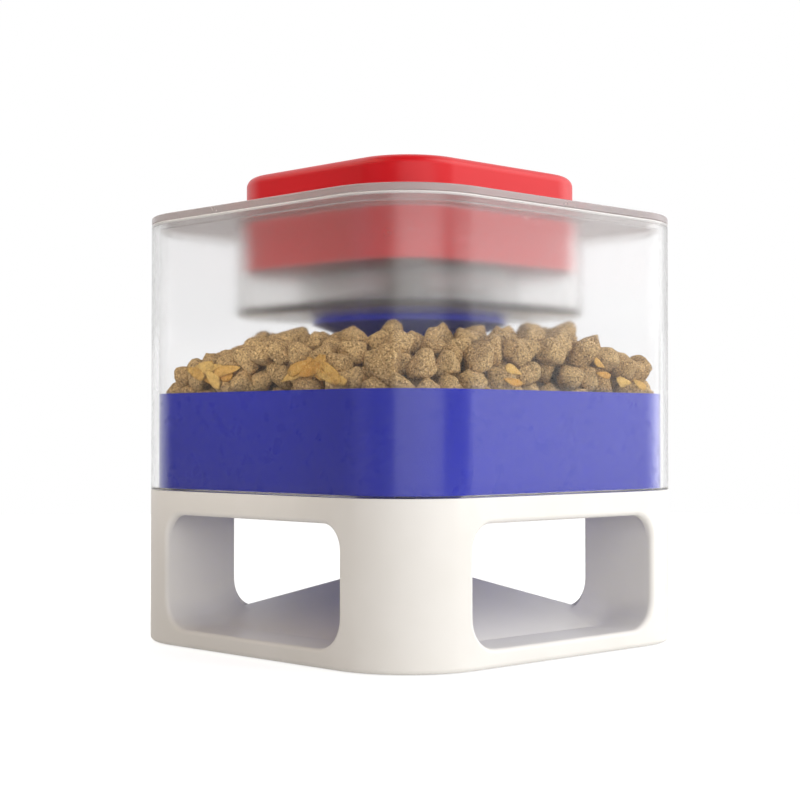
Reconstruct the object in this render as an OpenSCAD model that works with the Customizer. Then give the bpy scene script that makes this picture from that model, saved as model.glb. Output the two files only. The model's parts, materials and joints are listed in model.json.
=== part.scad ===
// Push-button pet feeder. A square hopper of frosted plastic stands on a white base with four
// serving windows. Pressing the red button pushes a plunger down, which opens a gate under
// the blue feed tray, so that a portion of kibble drops on the pyramid floor of the base.
// Millimetres, +Z up, origin at the middle of the footprint, on the floor under the feet.

/* [Body] */
// Width of the square body
side = 174; // [166:1:190]
// Corner radius of the body in plan
corner_r = 36; // [32:1:40]
// Height of the joint between the base and the hopper
seam_z = 63; // [60:0.5:66]
// Height of the top edge of the hopper
hopper_top = 173; // [171:0.5:176]

/* [Base] */
// Width of each serving window
window_w = 104; // [94:1:106]
// Height of the top edge of the windows
window_top = 53.4; // [45:0.2:55]
// Height of the window sill
sill_z = 7.7; // [7:0.1:10]
// Radius of the lower corners of the windows
window_r = 12; // [8:0.5:14]
// Radius of the upper corners of the windows
window_top_r = 9.5; // [8:0.5:14]
// Height at which the four floor slopes would meet
apex_z = 33.3; // [28:0.1:34]
// Fall of the floor for each millimetre away from the middle
floor_fall = 0.386; // [0.3:0.002:0.42]
// Height that the rubber feet stand out below the base
foot_proud = 0.5; // [0.5:0.1:1.5]

/* [Feed tray] */
// Height of the tray rim
tray_top = 102.5; // [98:0.5:106]
// Inner radius of the outlet spout
spout_r = 22; // [20:0.5:22]
// Height of the lower end of the spout
spout_bottom = 51.5; // [51.5:0.5:53]
// Height of the mouth of the spout, where the funnel starts
mouth_z = 62; // [61:0.5:63]

/* [Button] */
// Width of the square button
button_w = 112; // [100:1:114]
// Corner radius of the button in plan
button_r = 26; // [20:1:28]
// Height of the top of the button at rest
button_top = 193; // [191:0.5:196]
// Height of the lower edge of the button skirt at rest
button_skirt = 153; // [151:0.5:155]
// Travel of the button and the plunger
travel = 13; // [8:0.5:13]

/* [Detail] */
// Wall of the white base
base_wall = 3; // [2.5:0.1:3.5]
// Wall of the frosted hopper
hopper_wall_t = 3; // [2.5:0.1:3.5]
// Wall of the other mouldings
wall = 2.4; // [2:0.1:2.6]

/* [Hidden] */
$fn = 96;
eps = 0.5; // overshoot of a cut past the face that it opens

// Base
base_fillet = 2;
base_inner = side - 2 * base_wall;
plate_edge = 5; // from the outside of the base to the opening for its plate
under_w = side - 2 * plate_edge;
under_r = corner_r - plate_edge;
sill_t = 2.5;
floor_t = 2.5;
floor_gap = 0.3;
floor_half = window_w / 2 + 2; // half-width of the arms of the floor, which reach under the posts
flange_reach = 78; // outer edge of the floor's flange, under the sills
crown_z = 31; // flat top of the pyramid
slope_end = (apex_z - sill_z) / floor_fall; // where the slopes reach the height of the sill
slope_angle = atan(floor_fall);
clear_z = 30; // above the round lower corners of the channels
plate_t = 2;
plate_z = foot_proud + 0.8;
plate_top = plate_z + plate_t;
plate_gap = 0.3;
plate_screw_at = 58.5; // plate screws, from the middle along X and Y
plate_boss_r = 4;
foot_r = 7.5;
foot_at = 66;
screw_at = 67; // tray screws, from the middle along X and Y
screw_seat_z = 48.5;
screw_bore_r = 4;
screw_r = 1.5;
screw_head_r = 2.9;
screw_head_h = 2.2;
thread_gap = 0.02;

// Hopper and tray
fit_gap = 0.4;
flange_t = 0.7;
flange_w = 6;
hopper_inner = side - 2 * hopper_wall_t;
hopper_inner_r = corner_r - hopper_wall_t;
tray_w = hopper_inner - 2 * fit_gap;
tray_r = hopper_inner_r - fit_gap;
tray_wall = 2;
funnel_r = 24; // radius at the mouth
funnel_rise = 0.494; // rise for each millimetre of radius
funnel_t = 2.2;
tray_boss_r = 4;

// Guide cage in the tray
cage_r = 29;
cage_post_w = 5;
cage_z = 86;
cage_arm_h = 5;
tower_r = 9;
tower_top = 112;
cup_top = 108;
cup_gap = 0.4;
cup_wall = 2;
rod_r = 6;
slide_gap = 0.05;

// Lid
lid_gap = 0.1;
lid_t = 3;
lid_top = hopper_top + lid_t;
rim_w = tray_w;
rim_r = tray_r;
rim_depth = 3;
well_gap = 1;
well_inner = button_w + 2 * well_gap;
well_inner_r = button_r + well_gap;
well_outer = well_inner + 2 * wall;
well_outer_r = well_inner_r + wall;
well_bottom = 134.5;
well_floor = well_bottom + 2.5;
collar_r = 11;
collar_h = 10;
guide_ring_r = 44;
guide_ring_h = 14;

// Button
button_wall = 2.2;
button_top_t = 3;
button_fillet = 4;
button_under = button_top - button_top_t;
stem_r = 8;
stem_boss_r = 11;
stem_boss_h = 20;
seat_ring_r = 35.5;
seat_ring_h = 4;
retainer_r = 13;
retainer_t = 2.8;
retainer_top = well_bottom - 0.2;
retainer_bottom = retainer_top - retainer_t;
stem_bottom = retainer_top;

// Plunger
head_r = 40;
head_top = well_bottom - 0.3;
head_edge = 2.7;
head_dish_r = 15;
head_dish_z = retainer_bottom - 0.3;
skirt_r = 14;
skirt_wall = 2;
skirt_bottom = cage_z + cage_arm_h + travel + 0.5;
cup_r = skirt_r + cup_gap + cup_wall;
seat_z = 122;
hub_z = tower_top + travel + 1;
rod_top = head_dish_z - 1.2;
cone_r = 20;
cone_z = mouth_z + travel;
cone_h = 9;
rod_step_r = 4.5;
gate_r = 24;
gate_top = spout_bottom - 1.6;
gate_t = 2.4;
seal_h = 1.3;
gate_bottom = gate_top - gate_t;

// Springs
button_spring_r = 37.5;
button_wire_r = 1.2;
button_turns = 6;
plunger_spring_r = 10.6;
plunger_wire_r = 0.6;
plunger_turns = 9;

// Heap of kibble: radius and height of its surface, from the plunger out to the corners
heap = [[31, 106], [42, 113], [50, 121], [57, 125.5], [66, 123.5], [76, 118.5], [88, 112], [103, 105.5]];
kibble_gap = 0.5;
kibble_w = tray_w - 2 * tray_wall - 2 * kibble_gap;

// ---- Shared shapes ----

// A square of width w with corner arcs of radius r.
module round_square(w, r) {
    square([w, w - 2 * r], center = true);
    square([w - 2 * r, w], center = true);
    for (x = [-1, 1], y = [-1, 1])
        translate([x * (w / 2 - r), y * (w / 2 - r)]) circle(r);
}

// A square tube from z0 to z1, with its outer and inner width and radius.
module square_tube(z0, z1, w, r, w_in, r_in) {
    translate([0, 0, z0])
        linear_extrude(z1 - z0)
            difference() {
                round_square(w, r);
                round_square(w_in, r_in);
            }
}

// A quarter of a rectangle of width w and height h, whose lower or upper outer edge is rounded.
module edge_profile(w, h, low, high) {
    difference() {
        square([w, h]);
        if (low > 0)
            translate([w - low, low]) difference() {
                translate([0, -low - eps]) square([low + eps, low + eps]);
                circle(low);
            }
        if (high > 0)
            translate([w - high, h - high]) difference() {
                square([high + eps, high + eps]);
                circle(high);
            }
    }
}

// A block with a round_square plan whose lower or upper edge is rounded all round.
module soft_block(w, r, z0, z1, low, high) {
    translate([0, 0, z0]) {
        for (x = [-1, 1], y = [-1, 1])
            translate([x * (w / 2 - r), y * (w / 2 - r), 0])
                rotate_extrude() edge_profile(r, z1 - z0, low, high);
        for (a = [0, 90])
            rotate(a) rotate([90, 0, 0])
                linear_extrude(w - 2 * r, center = true)
                    for (m = [0, 1]) mirror([m, 0, 0]) edge_profile(w / 2, z1 - z0, low, high);
    }
}

// A round bar from z0 to z1.
module bar(z0, z1, r) {
    translate([0, 0, z0]) cylinder(h = z1 - z0, r = r);
}

// A round tube from z0 to z1.
module tube(z0, z1, r, r_in) {
    difference() {
        bar(z0, z1, r);
        bar(z0 - eps, z1 + eps, r_in);
    }
}

// Copies at the four corners of a square, at distance d from the middle along X and Y.
module at_corners(d) {
    for (x = [-1, 1], y = [-1, 1]) translate([x * d, y * d, 0]) children();
}

// A pan-head screw that points up, with its head's upper face at z = 0.
module screw(length) {
    bar(-screw_head_h, 0, screw_head_r);
    bar(-0.01, length, screw_r);
}

// A compression spring between two planes, swept as one closed tube.
module coil_spring(z0, z1, r, wire_r, turns) {
    sides = 8;
    steps = 20;
    flat = 0.6; // part of a turn that lies flat at each end
    count = turns * steps;
    low = z0 + wire_r;
    high = z1 - wire_r;
    function height(t) =
        low + (high - low) * min(1, max(0, (t * turns - flat) / (turns - 2 * flat)));
    points = [
        for (i = [0:count]) let (a = 360 * turns * i / count, z = height(i / count))
            for (j = [0:sides - 1]) let (b = 360 * j / sides)
                [(r + wire_r * cos(b)) * cos(a), (r + wire_r * cos(b)) * sin(a), z + wire_r * sin(b)]
    ];
    faces = [
        [for (j = [0:sides - 1]) j],
        [for (j = [sides - 1:-1:0]) count * sides + j],
        for (i = [0:count - 1], j = [0:sides - 1]) let (k = (j + 1) % sides)
            [i * sides + j, (i + 1) * sides + j, (i + 1) * sides + k, i * sides + k]
    ];
    polyhedron(points, faces);
}

// ---- Base ----

// Space under a roof that falls from its ridge along Y to both sides, down to z = 0.
module roof(peak, half_length) {
    foot = peak / floor_fall;
    rotate([90, 0, 0])
        linear_extrude(2 * half_length, center = true)
            polygon([[-foot, 0], [foot, 0], [0, peak]]);
}

// Four-sided pyramid whose slopes fall by floor_fall, cut to the given flat top.
module pyramid(peak, flat_top) {
    intersection() {
        roof(peak, side);
        rotate(90) roof(peak, side);
        translate([-side, -side, 0]) cube([2 * side, 2 * side, flat_top]);
    }
}

// Section of a serving channel: half-width half, round lower corners, open top.
module channel_section(half, low, top, r) {
    translate([-half, low + r]) square([2 * half, top - low - r]);
    translate([-half + r, low]) square([2 * (half - r), r + eps]);
    for (x = [-1, 1]) translate([x * (half - r), low + r]) circle(r);
}

// Outline of a serving window.
module window_section() {
    half = window_w / 2;
    high = window_top - window_top_r;
    channel_section(half, sill_z, high, window_r);
    for (x = [-1, 1]) translate([x * (half - window_top_r), high]) circle(window_top_r);
    translate([-half + window_top_r, high - eps])
        square([window_w - 2 * window_top_r, window_top_r + eps]);
}

// Stands a section in the YZ plane and extrudes it along +X.
module along_x(x0, x1) {
    translate([x0, 0, 0]) rotate([90, 0, 90]) linear_extrude(x1 - x0) children();
}

// The lower part of the serving channel on the +X side, and its window. It is level inside the
// window, then it rises along the floor's slope.
module serving_channel() {
    half = window_w / 2;
    step = 0.2; // from the level part in to the sloping part
    along_x(slope_end, side / 2 + eps) window_section();
    along_x(slope_end - eps, base_inner / 2) channel_section(half, sill_z, clear_z + eps, window_r);
    intersection() {
        translate([slope_end, 0, sill_z]) rotate([0, slope_angle, 0])
            along_x(-slope_end, clear_z) channel_section(half - step, 0, side, window_r - step);
        translate([window_w / 2 - 2 * eps, -half - eps, 0])
            cube([slope_end - window_w / 2 + 2 * eps, window_w + 2 * eps, clear_z + eps]);
    }
}

// Plan of the floor: two crossing arms of the given half-width.
module arms(half, reach) {
    square([2 * reach, 2 * half], center = true);
    square([2 * half, 2 * reach], center = true);
}

// The space that the floor takes up under the posts and the sills.
module floor_space() {
    intersection() {
        pyramid(apex_z + floor_gap, apex_z);
        linear_extrude(seam_z) arms(floor_half + floor_gap, side / 2);
    }
}

module base_shell() {
    color("white") difference() {
        union() {
            difference() {
                soft_block(side, corner_r, foot_proud, seam_z, base_fillet, 0);
                for (a = [0, 90, 180, 270]) rotate(a) serving_channel();
                translate([0, 0, clear_z])
                    linear_extrude(seam_z) arms(window_w / 2, base_inner / 2);
                translate([0, 0, -eps])
                    linear_extrude(clear_z + 2 * eps) square(window_w, center = true);
                floor_space();
                translate([0, 0, -eps])
                    linear_extrude(sill_z - sill_t + eps) round_square(under_w, under_r);
            }
            at_corners(plate_screw_at) bar(plate_top, sill_z, plate_boss_r);
        }
        at_corners(screw_at) {
            bar(-eps, screw_seat_z, screw_bore_r);
            bar(screw_seat_z - eps, seam_z + eps, screw_r + 0.2);
        }
        at_corners(plate_screw_at) bar(plate_z, plate_top + 8, screw_r + thread_gap);
    }
}

module serving_floor() {
    flange_top = sill_z - sill_t - 0.1;
    flange_low = plate_top + 0.1;
    color("white") intersection() {
        union() {
            difference() {
                pyramid(apex_z, crown_z);
                translate([0, 0, -floor_t]) pyramid(apex_z, crown_z);
                translate([-side, -side, -eps]) cube([2 * side, 2 * side, flange_low + eps]);
            }
            square_tube(flange_low, flange_top, 2 * flange_reach, 2, 2 * slope_end, 1);
        }
        union() {
            linear_extrude(seam_z) square(2 * floor_half, center = true);
            linear_extrude(seam_z) arms(floor_half, flange_reach);
        }
    }
}

module bottom_plate() {
    color("whitesmoke") difference() {
        translate([0, 0, plate_z]) linear_extrude(plate_t)
            round_square(under_w - 2 * plate_gap, under_r - plate_gap);
        at_corners(plate_screw_at) bar(plate_z - eps, plate_top + eps, screw_r + 0.2);
    }
}

module plate_screws() {
    head = 0.7;
    color("silver") at_corners(plate_screw_at) {
        bar(plate_z - head, plate_z, screw_head_r);
        bar(plate_z - 0.01, plate_top + 7, screw_r);
    }
}

module rubber_feet() {
    color("dimgray") at_corners(foot_at) bar(0, plate_z, foot_r);
}

module tray_screws() {
    color("silver") at_corners(screw_at)
        translate([0, 0, screw_seat_z]) screw(26);
}

// ---- Tray and hopper ----

// Solid of revolution between the funnel surface, raised by lift, and a flat top.
module above_funnel(lift, top) {
    outer = side;
    rotate_extrude()
        polygon([
            [0, mouth_z + lift],
            [funnel_r, mouth_z + lift],
            [outer, mouth_z + lift + funnel_rise * (outer - funnel_r)],
            [outer, 2 * top],
            [0, 2 * top]
        ]);
}

// Four posts and arms over the mouth, which carry the tower that guides the rod.
module guide_cage() {
    difference() {
        union() {
            for (a = [0, 90]) rotate(a) {
                translate([-cage_r, -cage_post_w / 2, cage_z])
                    cube([2 * cage_r, cage_post_w, cage_arm_h]);
                for (x = [-1, 1])
                    translate([x * (cage_r + funnel_r + 0.5) / 2, 0, (mouth_z + cage_z) / 2])
                        cube([cage_r - funnel_r - 0.5, cage_post_w, cage_z - mouth_z + 1], center = true);
            }
            bar(cage_z, tower_top, tower_r);
            bar(cage_z + 2, cage_z + cage_arm_h, cup_r);
            tube(cage_z + 3, cup_top, cup_r, cup_r - cup_wall);
        }
        bar(cage_z - eps, tower_top + eps, rod_r + slide_gap);
    }
}

module feed_tray() {
    low = seam_z + flange_t;
    color("mediumblue") union() {
        square_tube(low, tray_top, tray_w, tray_r, tray_w - 2 * tray_wall, tray_r - tray_wall);
        difference() {
            intersection() {
                difference() {
                    above_funnel(-funnel_t, tray_top);
                    above_funnel(0, tray_top);
                }
                linear_extrude(tray_top - 0.5) round_square(tray_w - 1, tray_r - 0.5);
            }
            bar(mouth_z - funnel_t - eps, mouth_z + eps, spout_r);
        }
        tube(spout_bottom, mouth_z, funnel_r, spout_r);
        difference() {
            at_corners(screw_at) bar(seam_z, mouth_z + 33, tray_boss_r);
            above_funnel(-1, tray_top);
            at_corners(screw_at) bar(seam_z - eps, seam_z + 16, screw_r + thread_gap);
        }
        guide_cage();
    }
}

module hopper_wall() {
    color("aliceblue", 0.35) {
        square_tube(seam_z, hopper_top, side, corner_r, hopper_inner, hopper_inner_r);
        square_tube(seam_z, seam_z + flange_t, side - 2, corner_r - 1,
            side - 2 * flange_w, corner_r - flange_w);
    }
}

module kibble_fill() {
    low = mouth_z + kibble_gap;
    first = heap[0];
    last = heap[len(heap) - 1];
    color("peru") intersection() {
        rotate_extrude()
            polygon([
                each heap,
                [last[0], low + funnel_rise * (last[0] - funnel_r)],
                [first[0], low + funnel_rise * (first[0] - funnel_r)]
            ]);
        linear_extrude(2 * tray_top) round_square(kibble_w, tray_r - tray_wall - kibble_gap);
    }
}

// ---- Lid and button ----

module lid() {
    low = hopper_top + lid_gap;
    color("aliceblue", 0.35) difference() {
        union() {
            square_tube(low, lid_top, side, corner_r, well_inner, well_inner_r);
            square_tube(hopper_top - rim_depth, low + 0.5, rim_w, rim_r,
                rim_w - 2 * wall, rim_r - wall);
            square_tube(well_bottom, low + 0.5, well_outer, well_outer_r, well_inner, well_inner_r);
            translate([0, 0, well_bottom]) linear_extrude(well_floor - well_bottom)
                round_square(well_outer - 1, well_outer_r - 0.5);
            bar(well_bottom, well_floor + collar_h, collar_r);
            tube(well_bottom + 1, well_floor + guide_ring_h, guide_ring_r, guide_ring_r - 2);
        }
        bar(well_bottom - eps, well_floor + collar_h + eps, stem_r + slide_gap);
    }
}

module button_cap() {
    inner = button_w - 2 * button_wall;
    inner_r = button_r - button_wall;
    color("red") difference() {
        union() {
            difference() {
                soft_block(button_w, button_r, button_skirt, button_top, 0, button_fillet);
                translate([0, 0, button_skirt - eps])
                    linear_extrude(button_under - button_skirt + eps) round_square(inner, inner_r);
            }
            bar(button_under - stem_boss_h, button_under + 1, stem_boss_r);
            tube(button_under - seat_ring_h, button_under + 1, seat_ring_r, seat_ring_r - 2);
            for (a = [0:45:315]) rotate(a)
                translate([stem_boss_r - 0.5, -0.9, button_under - 10])
                    cube([seat_ring_r - stem_boss_r - 0.5, 1.8, 11]);
        }
        bar(button_under - stem_boss_h - eps, button_under, stem_r + thread_gap);
    }
}

module button_stem() {
    color("white") difference() {
        bar(stem_bottom, button_under, stem_r);
        bar(stem_bottom - eps, stem_bottom + 12, screw_r + thread_gap);
    }
}

module stem_retainer() {
    color("white") difference() {
        bar(retainer_bottom, retainer_top, retainer_r);
        bar(retainer_bottom - eps, retainer_top + eps, screw_r + 0.2);
        bar(retainer_bottom - eps, retainer_bottom + 1.6, screw_head_r + 0.3);
    }
}

module retainer_screw() {
    color("silver") {
        bar(retainer_bottom + 0.2, retainer_bottom + 1.6, screw_head_r);
        bar(retainer_bottom + 1.59, stem_bottom + 10, screw_r);
    }
}

module button_spring() {
    color("silver")
        coil_spring(well_floor, button_under, button_spring_r, button_wire_r, button_turns);
}

// ---- Plunger ----

module plunger_head() {
    inner = skirt_r - skirt_wall;
    bore = tower_r + 0.3;
    color("mediumblue") difference() {
        rotate_extrude()
            polygon([
                [0, rod_top + 1.2], [head_dish_r, head_dish_z], [head_dish_r, head_top],
                [head_r - 1, head_top], [head_r, head_top - 1], [head_r, head_top - head_edge],
                [skirt_r, seat_z], [skirt_r, skirt_bottom], [inner, skirt_bottom],
                [inner, seat_z], [bore, seat_z], [bore, hub_z], [0, hub_z]
            ]);
        bar(hub_z - eps, rod_top, rod_r + thread_gap);
    }
}

module push_rod() {
    color("white") difference() {
        union() {
            bar(cone_z + cone_h, rod_top, rod_r);
            bar(gate_top, cone_z + cone_h + 0.01, rod_step_r);
        }
        bar(gate_top - eps, gate_top + 10, screw_r + thread_gap);
    }
}

module metering_cone() {
    color("mediumblue") rotate_extrude()
        polygon([
            [rod_step_r + thread_gap, cone_z], [cone_r, cone_z], [cone_r, cone_z + 2],
            [rod_r + 1.5, cone_z + cone_h], [rod_step_r + thread_gap, cone_z + cone_h]
        ]);
}

module spacer_sleeve() {
    color("white") tube(gate_top, cone_z, rod_r + 0.5, rod_step_r + thread_gap);
}

module gate_disc() {
    color("white") difference() {
        union() {
            bar(gate_bottom, gate_top, gate_r);
            tube(gate_top - 0.01, gate_top + seal_h - 0.3, gate_r - 5.1, gate_r - 7);
        }
        bar(gate_bottom - eps, gate_top + eps, screw_r + 0.2);
    }
}

module gate_seal() {
    color("lightgray") tube(gate_top, gate_top + seal_h, gate_r, gate_r - 5);
}

module gate_screw() {
    color("silver") translate([0, 0, gate_bottom]) screw(gate_t + 8);
}

module plunger_spring() {
    color("silver") coil_spring(cage_z + cage_arm_h, seat_z, plunger_spring_r, plunger_wire_r,
        plunger_turns);
}

base_shell();
serving_floor();
bottom_plate();
plate_screws();
rubber_feet();
tray_screws();
feed_tray();
hopper_wall();
kibble_fill();
lid();
button_cap();
button_stem();
stem_retainer();
retainer_screw();
button_spring();
plunger_head();
push_rod();
metering_cone();
spacer_sleeve();
gate_disc();
gate_seal();
gate_screw();
plunger_spring();
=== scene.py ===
"""Looks of the push-button pet feeder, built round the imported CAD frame. Metres, +Z up."""

import json
import math

import bmesh
import bpy
import numpy as np
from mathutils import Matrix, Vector


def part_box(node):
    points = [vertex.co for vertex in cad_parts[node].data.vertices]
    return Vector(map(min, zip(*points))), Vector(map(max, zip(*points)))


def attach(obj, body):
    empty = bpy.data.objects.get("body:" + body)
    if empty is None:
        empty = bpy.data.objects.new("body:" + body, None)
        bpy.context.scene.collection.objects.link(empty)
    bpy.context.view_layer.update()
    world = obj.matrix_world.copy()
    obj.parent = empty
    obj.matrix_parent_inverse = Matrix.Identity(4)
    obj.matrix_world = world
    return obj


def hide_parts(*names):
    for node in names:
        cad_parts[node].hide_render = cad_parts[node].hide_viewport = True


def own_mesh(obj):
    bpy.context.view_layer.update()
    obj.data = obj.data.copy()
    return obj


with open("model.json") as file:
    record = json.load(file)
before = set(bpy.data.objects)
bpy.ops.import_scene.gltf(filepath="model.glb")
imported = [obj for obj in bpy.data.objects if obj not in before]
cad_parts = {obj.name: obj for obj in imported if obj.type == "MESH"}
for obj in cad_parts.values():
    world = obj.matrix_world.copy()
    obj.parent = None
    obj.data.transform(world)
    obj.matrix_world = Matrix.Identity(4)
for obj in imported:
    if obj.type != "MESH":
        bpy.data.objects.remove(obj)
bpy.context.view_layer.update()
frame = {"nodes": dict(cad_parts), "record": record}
scene = bpy.context.scene
rng = np.random.default_rng(7)
MM = 0.001

# ---------------------------------------------------------------- sizes, in mm, from the CAD frame


def node_box(node):
    """Lowest and highest corner of a CAD node, in mm."""
    low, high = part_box(node)
    return [c / MM for c in low], [c / MM for c in high]


HALF = node_box("hopper_wall")[1][0]
SEAM = node_box("hopper_wall")[0][2]
HOPPER_TOP = node_box("hopper_wall")[1][2]
LID_TOP = node_box("lid")[1][2]
WELL_BOTTOM = node_box("lid")[0][2]
CAP_HALF = node_box("button_cap")[1][0]
CAP_LOW = node_box("button_cap")[0][2]
CAP_TOP = node_box("button_cap")[1][2]
CORNER = 36.0
WALL = 3.0
INNER = HALF - WALL
INNER_R = CORNER - WALL
TRAY_HALF = node_box("feed_tray")[1][0]
CAP_R = 26.0
WELL_IN = CAP_HALF + 1.0
WELL_IN_R = CAP_R + 1.0
WELL_WALL = 2.4
WELL_OUT = WELL_IN + WELL_WALL
WELL_OUT_R = WELL_IN_R + WELL_WALL
WELL_FLOOR = WELL_BOTTOM + 2.5
TRAY_RIM = 102.5
TRAY_WALL = 2.0

# ---------------------------------------------------------------- mesh helpers


def build(name, verts, faces, body, nodes, material, sharp=32.0, weld=1e-6):
    """An object from points in mm, welded, with its normals out, riding a CAD body."""
    mesh = bpy.data.meshes.new(name)
    mesh.from_pydata([tuple(c * MM for c in p) for p in verts], [], faces)
    bm = bmesh.new()
    bm.from_mesh(mesh)
    bmesh.ops.remove_doubles(bm, verts=bm.verts, dist=weld)
    bmesh.ops.recalc_face_normals(bm, faces=bm.faces)
    bm.to_mesh(mesh)
    bm.free()
    mesh.polygons.foreach_set("use_smooth", [True] * len(mesh.polygons))
    mesh.set_sharp_from_angle(angle=math.radians(sharp))
    mesh.materials.append(material)
    obj = bpy.data.objects.new(name, mesh)
    scene.collection.objects.link(obj)
    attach(obj, body)
    if nodes:
        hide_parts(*nodes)
    return obj


def weighted(obj):
    """Lets large flat faces set the shading of the edges round them."""
    mod = obj.modifiers.new("weighted", "WEIGHTED_NORMAL")
    mod.keep_sharp = True
    mod.weight = 90


def ring(half, r, z, steps=20):
    """A square of half-width half with corner radius r at height z, as a closed run of points."""
    r = max(min(r, half), 0.01)
    points = []
    for k, (cx, cy) in enumerate(((1, 1), (-1, 1), (-1, -1), (1, -1))):
        for i in range(steps + 1):
            a = math.radians(90 * k + 90 * i / steps)
            points.append((cx * (half - r) + r * math.cos(a), cy * (half - r) + r * math.sin(a), z))
    return points


def loft(profile, closed=True, steps=20):
    """Faces between rings of (half, r, z). A closed profile joins its last ring to its first."""
    verts, faces = [], []
    for half, r, z in profile:
        verts += ring(half, r, z, steps)
    n = 4 * (steps + 1)
    count = len(profile)
    for j in range(count if closed else count - 1):
        a, b = j * n, (j + 1) % count * n
        for i in range(n):
            k = (i + 1) % n
            faces.append((a + i, a + k, b + k, b + i))
    return verts, faces


def fillet(half, r, z, size, start, steps=4, inward=True):
    """Profile points round an edge: centre at (half, z), from angle start for 90 degrees."""
    out = []
    for i in range(steps + 1):
        a = math.radians(start + (90 * i / steps if inward else -90 * i / steps))
        out.append((half + size * math.cos(a), r + size * math.cos(a), z + size * math.sin(a)))
    return out


# ---------------------------------------------------------------- materials


class Nodes:
    """A small wrapper for building a material's node tree."""

    def __init__(self, name):
        self.mat = bpy.data.materials.new(name)
        self.mat.use_nodes = True
        self.tree = self.mat.node_tree
        self.bsdf = self.tree.nodes["Principled BSDF"]
        self.coords = self.tree.nodes.new("ShaderNodeTexCoord").outputs["Object"]

    def add(self, kind, **values):
        """A shader node of a kind, with some of its inputs set."""
        node = self.tree.nodes.new("ShaderNode" + kind)
        for key, value in values.items():
            node.inputs[key].default_value = value
        return node

    def link(self, a, b):
        self.tree.links.new(a, b)

    def noise(self, scale, detail=4.0, rough=0.55):
        """Noise over the object's own space; scale is in cycles per metre."""
        node = self.add("TexNoise", Scale=scale, Detail=detail, Roughness=rough)
        self.link(self.coords, node.inputs["Vector"])
        return node.outputs["Fac"]

    def mapped(self, value, low, high, out_low, out_high):
        """A value mapped from one range to another, and held at its ends."""
        node = self.add("MapRange")
        for i, v in zip((1, 2, 3, 4), (low, high, out_low, out_high)):
            node.inputs[i].default_value = v
        self.link(value, node.inputs[0])
        return node.outputs[0]

    def maths(self, operation, a, b):
        """The sum, product or larger of two values."""
        node = self.add("Math")
        node.operation = operation
        self.link(a, node.inputs[0])
        self.link(b, node.inputs[1])
        return node.outputs[0]

    def mix_colour(self, factor, a, b):
        """A blend of two colours, each fixed or from another node."""
        node = self.tree.nodes.new("ShaderNodeMix")
        node.data_type = "RGBA"
        self.link(factor, node.inputs[0])
        for socket, value in ((node.inputs[6], a), (node.inputs[7], b)):
            if hasattr(value, "is_output"):
                self.link(value, socket)
            else:
                socket.default_value = (*value, 1.0)
        return node.outputs[2]

    def bump(self, height, strength, distance, normal=None):
        """A normal from a height; strength is a share and distance is in metres."""
        node = self.add("Bump", Strength=strength, Distance=distance)
        self.link(height, node.inputs["Height"])
        if normal is not None:
            self.link(normal, node.inputs["Normal"])
        return node.outputs["Normal"]


def linear(r, g, b):
    """A colour from sRGB values of 0 to 255."""
    return tuple(((c / 255 + 0.055) / 1.055) ** 2.4 if c > 10 else c / 255 / 12.92 for c in (r, g, b))


def plastic(name, colour, darker, rough, grain=0.02, mottle=22.0, gloss=0.5):
    """Moulded plastic: faint mottle, handling marks in the gloss and a fine moulded grain."""
    n = Nodes(name)
    tone = n.mapped(n.noise(mottle, 3.0), 0.35, 0.65, 0.0, 1.0)
    n.link(n.mix_colour(tone, darker, colour), n.bsdf.inputs["Base Color"])
    marks = n.noise(95.0, 6.0, 0.7)
    n.link(n.mapped(marks, 0.3, 0.7, rough[0], rough[1]), n.bsdf.inputs["Roughness"])
    n.link(n.bump(n.noise(2600.0, 2.0), grain, 0.0004), n.bsdf.inputs["Normal"])
    n.bsdf.inputs["IOR"].default_value = 1.49
    n.bsdf.inputs["Specular IOR Level"].default_value = gloss
    return n


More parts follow.
